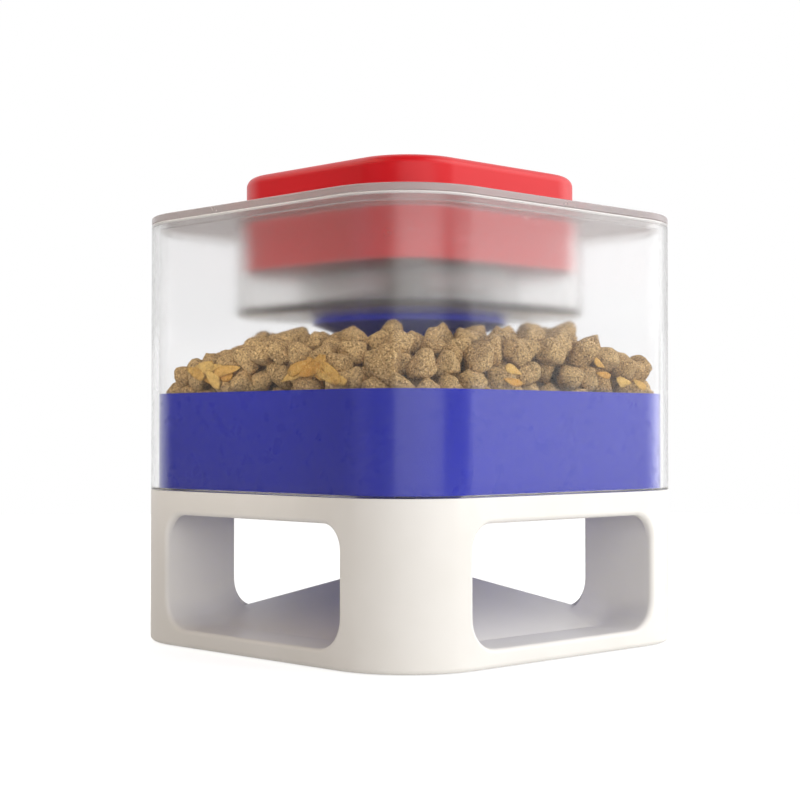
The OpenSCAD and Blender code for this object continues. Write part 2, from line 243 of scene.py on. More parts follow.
def frosted(name, colour, bands, edge, pale, edge_on_painted_shade=1.0, soft=None):
    """Frosted clear plastic. It blurs what lies behind it and lets most of the lamps' light through.

    bands holds (height, roughness) below and above which the frost stays the same. edge holds the
    two heights in mm over which the plastic goes from clear to a set colour, which it keeps above
    them, and pale the share and the colour of that. That colour is painted light: a painted highlight
    line along the hopper's top edge and painted shade over the lid above the hopper.
    The argument after pale is how much of the colour is left where the wall is seen edge on; the
    darker, warmer outline this gives is painted shade. soft holds the two heights between which the
    coat of the foot fades out; without it the plastic has no coat.
    """
    n = Nodes(name)
    apart = n.add("SeparateXYZ")
    n.link(n.coords, apart.inputs[0])
    height = apart.outputs["Z"]
    # painted light: above the edge heights the plastic turns less clear and takes the pale colour, a
    # painted highlight line on the hopper and painted shade on the lid
    painted_edge_band = n.mapped(height, edge[0] * MM, edge[1] * MM, 0.0, 1.0)
    tone = n.mapped(n.noise(14.0, 2.0), 0.3, 0.7, 0.0, 1.0)
    base = n.mix_colour(tone, tuple(c * 0.985 for c in colour), colour)
    # painted shade: where the wall is seen edge on, its colour turns darker and warmer, a painted dark
    # outline
    rim = n.mapped(n.add("LayerWeight", Blend=0.5).outputs["Facing"], 0.5, 0.92, 0.0, 1.0)
    warm = (colour[0], colour[1] * 0.99, colour[2] * 0.97)
    base = n.mix_colour(rim, base, tuple(c * edge_on_painted_shade for c in warm))
    # the band's colour is painted light, not a tint of the plastic
    n.link(n.mix_colour(painted_edge_band, base, pale[1]), n.bsdf.inputs["Base Color"])
    (z_low, r_low), (z_high, r_high) = bands
    frost = n.mapped(height, z_low * MM, z_high * MM, r_low, r_high)
    marks = n.mapped(n.noise(120.0, 5.0, 0.65), 0.3, 0.7, 0.9, 1.1)
    n.link(n.maths("MULTIPLY", frost, marks), n.bsdf.inputs["Roughness"])
    n.link(n.bump(n.noise(3000.0, 2.0), 0.03, 0.0002), n.bsdf.inputs["Normal"])
    n.bsdf.inputs["IOR"].default_value = 1.18 if soft else 1.36
    if soft:
        # a soft-mirroring coat at the foot and on the frosted part, but not in front of the kibble
        below = n.mapped(height, soft[0] * MM, soft[1] * MM, 0.35, 0.0)
        above = n.mapped(height, z_low * MM, z_high * MM, 0.0, 0.55)
        n.link(n.maths("ADD", below, above), n.bsdf.inputs["Coat Weight"])
        n.bsdf.inputs["Coat Roughness"].default_value = 0.24
    n.link(n.mapped(painted_edge_band, 0, 1, 0.985, 1 - pale[0]), n.bsdf.inputs["Transmission Weight"])
    lamp = n.add("BsdfTransparent")
    lamp.inputs[0].default_value = (0.9, 0.9, 0.9, 1)
    path = n.add("LightPath")
    pick = n.add("MixShader")
    n.link(path.outputs["Is Shadow Ray"], pick.inputs[0])
    n.link(n.bsdf.outputs[0], pick.inputs[1])
    n.link(lamp.outputs[0], pick.inputs[2])
    n.link(pick.outputs[0], n.tree.nodes["Material Output"].inputs["Surface"])
    return n


def metal(name, colour, rough):
    """Bright steel with drawn streaks."""
    n = Nodes(name)
    tone = n.mapped(n.noise(400.0, 3.0), 0.3, 0.7, 0.0, 1.0)
    n.link(n.mix_colour(tone, tuple(c * 0.8 for c in colour), colour), n.bsdf.inputs["Base Color"])
    n.link(n.mapped(n.noise(900.0, 4.0), 0.3, 0.7, rough[0], rough[1]), n.bsdf.inputs["Roughness"])
    n.bsdf.inputs["Metallic"].default_value = 1.0
    n.link(n.bump(n.noise(3000.0, 2.0), 0.05, 0.0002), n.bsdf.inputs["Normal"])
    return n


def rubber(name, colour):
    """Matt rubber with a fine grain and pale dust."""
    n = Nodes(name)
    dust = n.mapped(n.noise(160.0, 5.0), 0.45, 0.8, 0.0, 0.5)
    dusty = tuple(min(1, c + 0.12) for c in colour)
    n.link(n.mix_colour(dust, colour, dusty), n.bsdf.inputs["Base Color"])
    n.link(n.mapped(n.noise(300.0), 0.3, 0.7, 0.7, 0.9), n.bsdf.inputs["Roughness"])
    n.link(n.bump(n.noise(2500.0, 2.0), 0.2, 0.0003), n.bsdf.inputs["Normal"])
    return n


def baked(name, colours, scale, rough=1.0):
    """Dry kibble: each grain has its own tone, with dark specks, pale crumbs and a pitted skin."""
    n = Nodes(name)
    tone = n.add("Attribute")
    tone.attribute_name = "tone"
    dark, middle, light = colours
    base = n.mix_colour(n.mapped(tone.outputs["Fac"], 0.0, 1.0, 0.0, 1.0), dark, light)
    patch = n.mapped(n.noise(scale * 0.3, 4.0), 0.4, 0.62, 0.0, 0.5)
    base = n.mix_colour(patch, base, middle)
    specks = n.mapped(n.noise(scale * 1.5, 4.0, 0.75), 0.49, 0.58, 0.0, 0.9 * rough)
    base = n.mix_colour(specks, base, tuple(c * 0.42 for c in dark))
    crumbs = n.mapped(n.noise(scale * 2.0, 4.0, 0.7), 0.53, 0.62, 0.0, 0.85 * rough)
    base = n.mix_colour(crumbs, base, tuple(min(1.0, c * 1.45) for c in light))
    n.link(base, n.bsdf.inputs["Base Color"])
    n.link(n.mapped(n.noise(scale), 0.3, 0.7, 0.75, 0.95), n.bsdf.inputs["Roughness"])
    n.bsdf.inputs["Specular IOR Level"].default_value = 0.25
    pits = n.bump(n.noise(scale * 1.2, 4.0, 0.7), 0.8 * rough, 0.0007)
    n.link(n.bump(n.noise(scale * 3.0, 3.0, 0.7), 0.5 * rough, 0.0003, pits), n.bsdf.inputs["Normal"])
    return n


WHITE = plastic("satin white", linear(248, 245, 240), linear(244, 241, 235), (0.36, 0.44), 0.05).mat
BLUE = plastic("deep blue", linear(14, 32, 180), linear(13, 30, 176), (0.26, 0.3), gloss=0.28).mat
RED = plastic("signal red", linear(226, 20, 32), linear(222, 18, 30), (0.34, 0.4)).mat
PLAIN = plastic("plain white part", linear(232, 231, 226), linear(224, 222, 216), (0.4, 0.55)).mat
# the hopper's top edge turns whitish and less clear, a painted highlight line; seen edge on, its colour
# drops to half, a painted dark outline
CLEAR = frosted("frosted hopper", (0.975, 0.975, 0.98), ((118, 0.035), (134, 0.23)),
                (HOPPER_TOP - 0.9, HOPPER_TOP - 0.4), (0.75, (0.9, 0.88, 0.87)), 0.5,
                (TRAY_RIM, TRAY_RIM + 2.5)).mat
# above the hopper's top the lid turns grey-mauve and less clear: painted shade standing for the dim band
# along the lid's edge
LID = frosted("frosted lid", (0.96, 0.955, 0.95), ((136, 0.25), (137, 0.25)),
              (HOPPER_TOP - 0.2, HOPPER_TOP + 0.1), (0.45, (0.66, 0.60, 0.60))).mat
STEEL = metal("bright steel", (0.62, 0.62, 0.63), (0.22, 0.38)).mat
WIRE = metal("spring wire", (0.55, 0.55, 0.56), (0.28, 0.42)).mat
FOOT = rubber("grey rubber", (0.16, 0.16, 0.158)).mat
SEAL = rubber("soft seal", (0.45, 0.45, 0.43)).mat
KIBBLE = baked("kibble", (linear(180, 142, 92), linear(202, 168, 114), linear(220, 188, 136)), 700.0).mat
FLAKE = baked("flake", (linear(206, 146, 66), linear(216, 172, 92), linear(226, 190, 116)), 300.0, 0.4).mat

SLOT_LOOKS = {
    "base_white": WHITE, "tray_blue": BLUE, "button_red": RED, "part_white": PLAIN,
    "hopper_clear": CLEAR, "lid_clear": LID, "steel": STEEL, "spring_steel": WIRE,
    "foot_rubber": FOOT, "seal_rubber": SEAL, "kibble": KIBBLE,
}
slots = {p["node"]: p["material_slot"] for p in frame["record"]["subparts"]}
for name, obj in frame["nodes"].items():
    obj.data.materials.clear()
    obj.data.materials.append(SLOT_LOOKS[slots[name]])

# ---------------------------------------------------------------- base

BASE_LOW = 0.5
BASE_FILLET = 2.0
WINDOW = 52.0
WINDOW_TOP = 53.4
SILL = 7.7
ARC_R = 12.0
TOP_R = 9.5
EDGE = 2.0
TOP_EDGE = 0.4
APEX = 33.3  # where the four slopes of the floor would meet
CROWN = 31.0  # where their top is rounded off
FALL = 0.386  # fall per mm
SLOPE_END = (APEX - SILL) / FALL
FLOOR_UNDER = 5.2
FLOOR_T = 2.5
PLATE_EDGE = 5.0
POST_ANGLE = 12  # how far round a corner, in degrees, the part that is mirrored reaches
NEAR = 1e-6
ARC_IN = WINDOW - ARC_R
TOP_IN = WINDOW - TOP_R


def smooth_max(a, b, k):
    """The larger of two heights, blended over k."""
    h = np.clip(0.5 + 0.5 * (a - b) / k, 0, 1)
    return b * (1 - h) + a * h + k * h * (1 - h)


def slope_z(a):
    """Height of the floor under a serving channel at distance a from the middle."""
    return max(APEX - FALL * a, SILL)


def arc_z(b):
    """Rise of a channel's round lower corner at distance b from its middle line."""
    over = min(max(b - ARC_IN, 0.0), ARC_R)
    return ARC_R - math.sqrt(ARC_R ** 2 - over ** 2)


def base_parts():
    """The white base as faces: skin with four windows, channels and posts, round an open middle."""
    faces = []  # each face is a list of points
    z_low, z_high = BASE_LOW + BASE_FILLET, SEAM - TOP_EDGE
    flat = HALF - CORNER
    cell_x = flat + CORNER * math.sin(math.radians(POST_ANGLE))
    low_c, high_c = SILL + ARC_R, WINDOW_TOP - TOP_R

    def angles(*extra):
        return sorted(set([10.0 * i for i in range(10)] + [math.degrees(e) for e in extra]))

    def hit(x, z, a, x_lim, z_lim):
        """From (x, z) at angle a, out to the nearer of the lines x = x_lim and z = z_lim."""
        dx, dz = math.cos(math.radians(a)), math.sin(math.radians(a))
        far_x = (x_lim - x) / dx if dx > 1e-9 else 1e9
        far_z = (z_lim - z) / dz if abs(dz) > 1e-9 else 1e9
        far = min(far_x, far_z)
        return (x_lim if far_x < far + 1e-3 else x + dx * far,
                z_lim if far_z < far + 1e-3 else z + dz * far)

    low_t = angles(math.atan2(low_c - z_low, cell_x - ARC_IN))
    high_t = angles(math.atan2(z_high - high_c, cell_x - TOP_IN), math.atan2(SEAM - high_c, TOP_R))

    # the window outline, from the bottom middle to the top middle, on the +x side
    outline = []  # (x, z), outward normal, point on the cell's edge
    for x in np.linspace(0, ARC_IN, 12)[:-1]:
        outline.append(((x, SILL), (0, -1), (x, z_low)))
    for a in low_t[::-1]:
        dx, dz = math.cos(math.radians(a)), -math.sin(math.radians(a))
        edge = hit(ARC_IN, low_c, -a, cell_x, z_low)
        outline.append(((ARC_IN + ARC_R * dx, low_c + ARC_R * dz), (dx, dz), edge))
    for z in np.linspace(low_c, high_c, 6)[1:-1]:
        outline.append(((WINDOW, z), (1, 0), (cell_x, z)))
    for a in high_t:
        dx, dz = math.cos(math.radians(a)), math.sin(math.radians(a))
        edge = hit(TOP_IN, high_c, a, cell_x, z_high)
        outline.append(((TOP_IN + TOP_R * dx, high_c + TOP_R * dz), (dx, dz), edge))
    for x in np.linspace(TOP_IN, 0, 8)[1:]:
        outline.append(((x, WINDOW_TOP), (0, 1), (x, z_high)))

    def skin(x, z, depth=0.0):
        """A point on the front skin, or behind it."""
        over = abs(x) - flat
        y = HALF if over <= 0 else flat + math.sqrt(CORNER ** 2 - over ** 2)
        return (x, -y + depth, z)

    columns = []
    for (x, z), (nx, nz), (cx, cz) in outline:
        column = [skin(cx, cz)]
        for i in range(6):
            a = math.radians(90 * i / 5)
            off, depth = EDGE * (1 - math.sin(a)), EDGE * (1 - math.cos(a))
            column.append(skin(x + nx * off, z + nz * off, depth))
        column.append((x, -(HALF - WALL), z))
        columns.append(column)
    halves = []
    for a, b in zip(columns, columns[1:]):
        for i in range(len(a) - 1):
            halves.append([a[i], b[i], b[i + 1], a[i + 1]])

    # inner face of the skin over the window, out to the channel's edge
    inner = []
    for a in high_t:
        dx, dz = math.cos(math.radians(a)), math.sin(math.radians(a))
        edge = hit(TOP_IN, high_c, a, WINDOW, SEAM)
        inner.append(((TOP_IN + TOP_R * dx, high_c + TOP_R * dz), edge))
    for x in np.linspace(TOP_IN, 0, 8)[1:]:
        inner.append(((x, WINDOW_TOP), (x, SEAM)))
    y_in = -(HALF - WALL)
    for (p, q), (r, t) in zip(inner, inner[1:]):
        halves.append([(x, y_in, z) for x, z in (p, r, t, q)])

    # the channel: its wall, its round lower corner and the level sill, from the skin inwards
    upper = sorted({q[1] for _, q in inner if q[0] > WINDOW - NEAR})
    depths = [HALF - WALL, 79.0, 74.0, 70.0, SLOPE_END, 63.0, 59.0, 55.5, WINDOW]
    arcs = sorted({round(p[0], 9) for p, n, _ in outline if n[1] <= 0 and p[0] > ARC_IN - NEAR})
    sills = list(np.linspace(0, ARC_IN, 12))

    def wall_rows(a):
        low = slope_z(a) + ARC_R
        return [low + (high_c - low) * i / 5 for i in range(5)] + upper

    for y0, y1 in zip(depths, depths[1:]):
        near, far = wall_rows(y0), wall_rows(y1)
        for z0, z1, w0, w1 in zip(near, near[1:], far, far[1:]):
            halves.append([(WINDOW, -y0, z0), (WINDOW, -y1, w0), (WINDOW, -y1, w1), (WINDOW, -y0, z1)])
        across = arcs if y0 < SLOPE_END + NEAR else sills[:-1] + arcs
        for x0, x1 in zip(across, across[1:]):
            halves.append([(x0, -y0, slope_z(y0) + arc_z(x0)), (x1, -y0, slope_z(y0) + arc_z(x1)),
                           (x1, -y1, slope_z(y1) + arc_z(x1)), (x0, -y1, slope_z(y1) + arc_z(x0))])
        if y0 < SLOPE_END + NEAR:
            halves.append([(ARC_IN, -y0, slope_z(y0)), (ARC_IN, -y1, slope_z(y1)),
                           (ARC_IN, -y1, FLOOR_UNDER), (ARC_IN, -y0, FLOOR_UNDER)])
    for x0, x1 in zip(sills, sills[1:]):
        halves.append([(x0, -SLOPE_END, SILL), (x1, -SLOPE_END, SILL),
                       (x1, -SLOPE_END, FLOOR_UNDER), (x0, -SLOPE_END, FLOOR_UNDER)])
    for x0, x1 in zip(arcs, arcs[1:]):
        halves.append([(x0, -WINDOW, slope_z(WINDOW) + arc_z(x0)),
                       (x1, -WINDOW, slope_z(WINDOW) + arc_z(x1)),
                       (x1, -WINDOW, FLOOR_UNDER), (x0, -WINDOW, FLOOR_UNDER)])

    # the corner between two windows, on the +x side of the front; it isn't mirrored
    corners = []
    rows = sorted({round(c[1], 6) for _, _, c in outline if c[0] > cell_x - NEAR})
    turn = [math.radians(90 - POST_ANGLE - (90 - 2 * POST_ANGLE) * i / 14) for i in range(15)]
    arc_points = [((flat + CORNER * math.cos(t), -(flat + CORNER * math.sin(t))),
                   (math.cos(t), -math.sin(t))) for t in turn]
    for (p, _), (q, _) in zip(arc_points, arc_points[1:]):
        for z0, z1 in zip(rows, rows[1:]):
            corners.append([(*p, z0), (*q, z0), (*q, z1), (*p, z1)])

    # the rounded lower edge and the small upper edge
    def edge_run(limit, low_side):
        """Points along the front skin under or over a height, each with its outward normal."""
        run = []
        on_side = [c[0] for _, _, c in outline if (c[1] < limit if low_side else c[1] > limit)]
        for x in sorted({round(x, 6) for x in on_side}):
            over = max(x - flat, 0.0)
            run.append(((x, skin(x, 0)[1]), (over / CORNER, -math.sqrt(1 - (over / CORNER) ** 2))))
        return run

    def edge_profile(z, size, sign):
        """A quarter round as (depth behind the skin, height)."""
        return [(size * (1 - math.cos(math.radians(a))), z + sign * size * math.sin(math.radians(a)))
                for a in (0, 15, 30, 45, 60, 75, 90)]

    low_profile = edge_profile(z_low, BASE_FILLET, -1) + [(PLATE_EDGE, BASE_LOW), (PLATE_EDGE, FLOOR_UNDER)]
    high_profile = edge_profile(z_high, TOP_EDGE, 1)

    def sweep(run, profile, out):
        """Adds the faces that a profile makes along a run."""
        for (p, n), (q, m) in zip(run, run[1:]):
            for (d0, z0), (d1, z1) in zip(profile, profile[1:]):
                out.append([(p[0] - n[0] * d0, p[1] - n[1] * d0, z0),
                            (q[0] - m[0] * d0, q[1] - m[1] * d0, z0),
                            (q[0] - m[0] * d1, q[1] - m[1] * d1, z1),
                            (p[0] - n[0] * d1, p[1] - n[1] * d1, z1)])

    sweep(edge_run(z_low + NEAR, True), low_profile, halves)
    sweep(edge_run(z_high - NEAR, False), high_profile, halves)
    sweep(arc_points, low_profile, corners)
    sweep(arc_points, high_profile, corners)

    for k in range(4):
        c, s = round(math.cos(k * math.pi / 2)), round(math.sin(k * math.pi / 2))
        for f in halves:
            faces.append([(c * x - s * y, s * x + c * y, z) for x, y, z in f])
            faces.append([(-c * x - s * y, -s * x + c * y, z) for x, y, z in f])
        for f in corners:
            faces.append([(c * x - s * y, s * x + c * y, z) for x, y, z in f])
    return loose(faces)


def loose(faces):
    """Points and faces from a list of faces that are each a list of points."""
    verts, index = [], []
    for f in faces:
        index.append(tuple(range(len(verts), len(verts) + len(f))))
        verts += f
    return verts, index


def floor_parts():
    """The pyramid floor as a thin closed plate, with soft ridges and a soft crown."""
    wide, narrow = WINDOW - 0.1, ARC_IN + 0.3
    levels = [*np.linspace(0, ARC_IN, 22), narrow, 44.0, 48.0, wide, 56.0, 60.0, 64.0]
    levels += [SLOPE_END - 0.5, SLOPE_END + 0.4]
    levels = [-v for v in levels[:0:-1]] + levels

    def top(x, y):
        """Height of the floor; the ridges and the crown are blended."""
        reach = float(smooth_max(abs(x), abs(y), 1.6))
        return -float(smooth_max(-(APEX - FALL * reach), -CROWN, 1.2))

    def inside(i, j):
        """Whether a cell of the grid is in the plate: a square with an arm to each window."""
        if not (0 <= i < len(levels) - 1 and 0 <= j < len(levels) - 1):
            return False
        x, y = abs(levels[i] + levels[i + 1]) / 2, abs(levels[j] + levels[j + 1]) / 2
        return max(x, y) < wide or min(x, y) < narrow

    faces = []
    for i in range(len(levels) - 1):
        for j in range(len(levels) - 1):
            if not inside(i, j):
                continue
            cell = [(levels[i], levels[j]), (levels[i + 1], levels[j]),
                    (levels[i + 1], levels[j + 1]), (levels[i], levels[j + 1])]
            faces.append([(x, y, top(x, y)) for x, y in cell])
            faces.append([(x, y, top(x, y) - FLOOR_T) for x, y in cell[::-1]])
            for side, (di, dj) in enumerate(((0, -1), (1, 0), (0, 1), (-1, 0))):
                if not inside(i + di, j + dj):
                    (x0, y0), (x1, y1) = cell[side], cell[(side + 1) % 4]
                    faces.append([(x0, y0, top(x0, y0)), (x0, y0, top(x0, y0) - FLOOR_T),
                                  (x1, y1, top(x1, y1) - FLOOR_T), (x1, y1, top(x1, y1))])
    return loose(faces)


def close_base(obj):
    """Closes the top and the underside of the base, and softens the inner edges of the posts."""
    bm = bmesh.new()
    bm.from_mesh(obj.data)
    for height in (SEAM, FLOOR_UNDER):
        rim = [e for e in bm.edges if e.is_boundary
               and all(abs(v.co.z - height * MM) < NEAR for v in e.verts)]
        bmesh.ops.triangle_fill(bm, use_beauty=True, use_dissolve=True, edges=rim)
    bmesh.ops.recalc_face_normals(bm, faces=bm.faces)
    weights = bm.edges.layers.float.new("bevel_weight_edge")
    for e in bm.edges:
        if all(abs(abs(c) - WINDOW * MM) < NEAR for v in e.verts for c in v.co[:2]):
            e[weights] = 1.0
    for f in bm.faces:
        f.smooth = True
    bm.to_mesh(obj.data)
    bm.free()
    obj.data.set_sharp_from_angle(angle=math.radians(32))
    mod = obj.modifiers.new("post edges", "BEVEL")
    mod.limit_method = "WEIGHT"
    mod.width = 1.2 * MM
    mod.segments = 4


verts, faces = base_parts()
base = build("base_shell_look", verts, faces, "housing", ["base_shell"], WHITE, weld=2e-6)
close_base(base)
weighted(base)
verts, faces = floor_parts()
build("serving_floor_look", verts, faces, "housing", ["serving_floor"], WHITE, 50)

# ---------------------------------------------------------------- hopper, lid and button

SOFT = 0.5
FLANGE, FLANGE_R, FLANGE_T = HALF - 6.0, CORNER - 6.0, 0.7
profile = [
    *fillet(HALF - SOFT, CORNER - SOFT, SEAM + SOFT, SOFT, -90),
    *fillet(HALF - SOFT, CORNER - SOFT, HOPPER_TOP - SOFT, SOFT, 0),
    *fillet(INNER + SOFT, INNER_R + SOFT, HOPPER_TOP - SOFT, SOFT, 90),
    (INNER, INNER_R, SEAM + FLANGE_T + 0.2),
    (INNER - 0.2, INNER_R - 0.2, SEAM + FLANGE_T),
    (FLANGE + 0.2, FLANGE_R + 0.2, SEAM + FLANGE_T),
    (FLANGE, FLANGE_R, SEAM + FLANGE_T - 0.2),
    (FLANGE, FLANGE_R, SEAM + 0.2),
    (FLANGE + 0.2, FLANGE_R + 0.2, SEAM),
]
verts, faces = loft(profile)
hopper = build("hopper_wall_look", verts, faces, "housing", ["hopper_wall"], CLEAR)
weighted(hopper)

RIM_Z = HOPPER_TOP - 3.0
PLATE_LOW = HOPPER_TOP + 0.1
RIM_OUT, RIM_OUT_R = TRAY_HALF, INNER_R - 0.4
RIM_IN, RIM_IN_R = RIM_OUT - 2.4, RIM_OUT_R - 2.4
RING_OUT, RING_IN, RING_TOP = 44.0, 42.0, WELL_FLOOR + 14.0
COLLAR, BORE, COLLAR_TOP = 11.0, 8.05, WELL_FLOOR + 10.0
edge = 0.8
profile = [
    (BORE, BORE, WELL_BOTTOM),
    (WELL_OUT - 3, WELL_OUT_R - 3, WELL_BOTTOM),
    *fillet(WELL_IN, WELL_IN_R, WELL_BOTTOM + WELL_WALL, WELL_WALL, -90, 6),
    (WELL_OUT, WELL_OUT_R, PLATE_LOW - 1.0),
    (WELL_OUT + 0.3, WELL_OUT_R + 0.3, PLATE_LOW - 0.3),
    (WELL_OUT + 1.0, WELL_OUT_R + 1.0, PLATE_LOW),
    (RIM_IN, RIM_IN_R, PLATE_LOW),
    (RIM_IN, RIM_IN_R, RIM_Z + 0.4),
    (RIM_IN + 0.4, RIM_IN_R + 0.4, RIM_Z),
    (RIM_OUT - 0.4, RIM_OUT_R - 0.4, RIM_Z),
    (RIM_OUT, RIM_OUT_R, RIM_Z + 0.4),
    (RIM_OUT, RIM_OUT_R, PLATE_LOW),
    *fillet(HALF - 0.4, CORNER - 0.4, PLATE_LOW + 0.4, 0.4, -90),
    *fillet(HALF - edge, CORNER - edge, LID_TOP - edge, edge, 0),
    *fillet(WELL_IN + edge, WELL_IN_R + edge, LID_TOP - edge, edge, 90),
    (WELL_IN, WELL_IN_R, WELL_FLOOR + 2.0),
    (WELL_IN - 0.6, WELL_IN_R - 0.6, WELL_FLOOR + 0.6),
    (WELL_IN - 2.0, WELL_IN_R - 2.0, WELL_FLOOR),
    (RING_OUT, RING_OUT, WELL_FLOOR),
    (RING_OUT, RING_OUT, RING_TOP),
    (RING_IN, RING_IN, RING_TOP),
    (RING_IN, RING_IN, WELL_FLOOR),
    (COLLAR, COLLAR, WELL_FLOOR),
    (COLLAR, COLLAR, COLLAR_TOP),
    (BORE, BORE, COLLAR_TOP),
]
verts, faces = loft(profile)
lid = build("lid_look", verts, faces, "lid", ["lid"], LID)
weighted(lid)

CAP_WALL, CAP_SKIN, CAP_FILLET = 2.2, 3.0, 4.0
under = CAP_TOP - CAP_SKIN
profile = [
    (0.01, 0.01, under),
    (8.02, 8.02, under),
    (8.02, 8.02, under - 20),
    (11.0, 11.0, under - 20),
    (11.0, 11.0, under),
    (33.5, 33.5, under),
    (33.5, 33.5, under - 4),
    (35.5, 35.5, under - 4),
    (35.5, 35.5, under),
    (CAP_HALF - CAP_WALL - 1.5, CAP_R - CAP_WALL - 1.5, under),
    (CAP_HALF - CAP_WALL, CAP_R - CAP_WALL, under - 1.5),
    (CAP_HALF - CAP_WALL, CAP_R - CAP_WALL, CAP_LOW + 0.4),
    (CAP_HALF - CAP_WALL + 0.4, CAP_R - CAP_WALL + 0.4, CAP_LOW),
    *fillet(CAP_HALF - 0.4, CAP_R - 0.4, CAP_LOW + 0.4, 0.4, -90),
    *fillet(CAP_HALF - CAP_FILLET, CAP_R - CAP_FILLET, CAP_TOP - CAP_FILLET, CAP_FILLET, 0, 10),
    (CAP_HALF - 9, CAP_R - 9, CAP_TOP),
    (0.01, 0.01, CAP_TOP),
]
verts, faces = loft(profile, closed=False, steps=24)
cap = build("button_cap_look", verts, faces, "button", ["button_cap"], RED, weld=3e-5)
weighted(cap)

# ---------------------------------------------------------------- springs


def coil(name, low, high, radius, wire, turns, body, node):
    """A closed wire coil between two planes, just clear of both."""
    steps, sides, flat_part, clear = 40, 12, 0.6, 0.06
    count = int(turns * steps)
    bottom, top = low + wire + clear, high - wire - clear
    verts, faces = [], []
    for i in range(count + 1):
        t = i / count
        share = min(1.0, max(0.0, (t * turns - flat_part) / (turns - 2 * flat_part)))
        z, a = bottom + (top - bottom) * share, 2 * math.pi * turns * t
        for j in range(sides):
            b = 2 * math.pi * j / sides
            reach = radius + wire * math.cos(b)
            verts.append((reach * math.cos(a), reach * math.sin(a), z + wire * math.sin(b)))
    for i in range(count):
        for j in range(sides):
            k = (j + 1) % sides
            faces.append((i * sides + j, i * sides + k, (i + 1) * sides + k, (i + 1) * sides + j))
    faces.append(tuple(range(sides)))
    faces.append(tuple(count * sides + j for j in range(sides)))
    return build(name, verts, faces, body, [node], WIRE, 50)


low, high = node_box("button_spring")[0][2], node_box("button_spring")[1][2]
spring = coil("button_spring_look", low, high, 37.5, 1.2, 6, "lid", "button_spring")
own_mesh(spring)
low, high = node_box("plunger_spring")[0][2], node_box("plunger_spring")[1][2]
spring = coil("plunger_spring_look", low, high, 10.6, 0.6, 9, "housing", "plunger_spring")
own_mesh(spring)

# ---------------------------------------------------------------- kibble

# height of the heap at a distance from the middle, and of the pressed plunger head's underside
HEAP = np.array([[16, 98], [31, 106], [42, 113.5], [50, 121], [57, 125.5], [66, 123.5], [76, 118.5],
                 [88, 112], [103, 105.5]])
PRESSED = np.array([[14, 109], [40, 118.2], [46, 118.2]])
NECK = 17.0  # room for the plunger's neck
FUNNEL_R, FUNNEL_Z, FUNNEL_RISE = 24, 62.5, 0.494
GRAIN = 5.5
GRAIN_SHAPES = 24


def heap_z(x, y):
    """Height of the top layer's grain centres; the side towards +X +Y is a little fuller."""
    r = np.hypot(x, y)
    lean = (x + y) / math.sqrt(2) / 100
    return np.interp(r, HEAP[:, 0], HEAP[:, 1]) - 2.0 + 2.2 * lean


def pressed_z(r):
    """Height of the pressed plunger head's underside at distance r from the middle."""
    return np.interp(r, PRESSED[:, 0], PRESSED[:, 1])


def grain_centres():
    """Centres and radii of the grains: layers on a loose grid, pushed apart until they rest."""
    points, layer_of = [], []
    pitch, shake, drop = 10.5, 2.6, 9.0
    for layer in range(3):
        for i in range(-10, 11):
            for j in range(-11, 12):
                x = (i + 0.5 * (j % 2) + 0.33 * layer) * pitch + rng.uniform(-shake, shake)
                y = (j + 0.4 * layer) * pitch * 0.88 + rng.uniform(-shake, shake)
                points.append((x, y, -drop * layer + rng.uniform(-2.2, 1.4)))
                layer_of.append(layer)
    p, layer_of = np.array(points), np.array(layer_of)
    core = INNER - 2.6 - INNER_R
    over = np.maximum(np.abs(p[:, :2]) - core, 0)
    keep = np.hypot(over[:, 0], over[:, 1]) < INNER_R - GRAIN + 1.5
    keep &= np.hypot(p[:, 0], p[:, 1]) > NECK + 4
    p, layer_of = p[keep], layer_of[keep]
    depth = p[:, 2].copy()
    size = rng.uniform(0.78, 1.18, len(p)) * GRAIN
    p[:, 2] = heap_z(p[:, 0], p[:, 1]) + depth
    for step in range(70):
        gap = p[:, None, :] - p[None, :, :]
        dist = np.sqrt((gap ** 2).sum(2)) + np.eye(len(p)) * 99
        want = (size[:, None] + size[None, :]) * 0.93
        push = np.clip(want - dist, 0, None) / np.maximum(dist, 0.1) * 0.35
        p += (gap * push[:, :, None]).sum(1)
        p[:, 2] += (heap_z(p[:, 0], p[:, 1]) + depth - p[:, 2]) * (0.12 if step < 50 else 0.03)
        # keep inside the hopper's walls
        limit = INNER_R - size * 0.9
        sx, sy = np.sign(p[:, 0]), np.sign(p[:, 1])
        ox, oy = np.maximum(np.abs(p[:, 0]) - core, 0), np.maximum(np.abs(p[:, 1]) - core, 0)
        far = np.hypot(ox, oy)
        scale = np.where(far > limit, limit / np.maximum(far, 1e-6), 1.0)
        p[:, 0] = np.where(ox > 0, sx * (core + ox * scale), p[:, 0])
        p[:, 1] = np.where(oy > 0, sy * (core + oy * scale), p[:, 1])
        # keep out of the plunger's way
        r = np.hypot(p[:, 0], p[:, 1])
        least = NECK + size
        out = np.where(r < least, least / np.maximum(r, 1e-6), 1.0)
        p[:, 0] *= out
        p[:, 1] *= out
        r = np.hypot(p[:, 0], p[:, 1])
        roof = np.where(r < PRESSED[1, 0] + size, pressed_z(r) - size - 0.6, 1e3)
        p[:, 2] = np.minimum(p[:, 2], roof)
        ground = FUNNEL_Z + FUNNEL_RISE * (r - FUNNEL_R) + size * 0.9
        p[:, 2] = np.maximum(p[:, 2], ground)
    return p, size, layer_of


